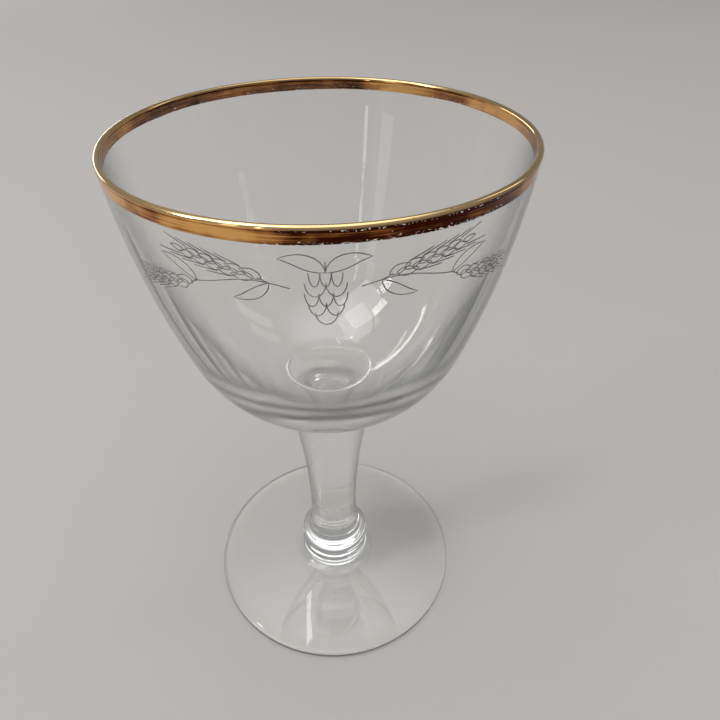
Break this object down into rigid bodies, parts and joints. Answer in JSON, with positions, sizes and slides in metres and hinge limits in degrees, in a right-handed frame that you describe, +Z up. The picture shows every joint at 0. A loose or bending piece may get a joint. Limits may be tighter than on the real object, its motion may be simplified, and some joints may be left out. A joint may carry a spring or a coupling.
{
  "type": "chalice beer glass",
  "caption": "Stemmed chalice beer glass with a deep rounded bowl, a short solid stem with a collar, a flat disc foot and a gilded lip.",
  "frame": {"origin": "centre of the flat ring under the foot, on the surface that the glass stands on", "axes": "+Z up along the axis of the glass, from the foot to the lip; X and Y are alike, because the glass is round"},
  "size_m": [0.1, 0.1, 0.162],
  "materials": {
    "clear_glass": "polished clear soda-lime glass",
    "gold": "fired bright gold film, slightly worn"
  },
  "bodies": {
    "root": {"bowl": "clear_glass", "stem": "clear_glass", "foot": "clear_glass", "rim_gilding": "gold"}
  },
  "joints": []
}
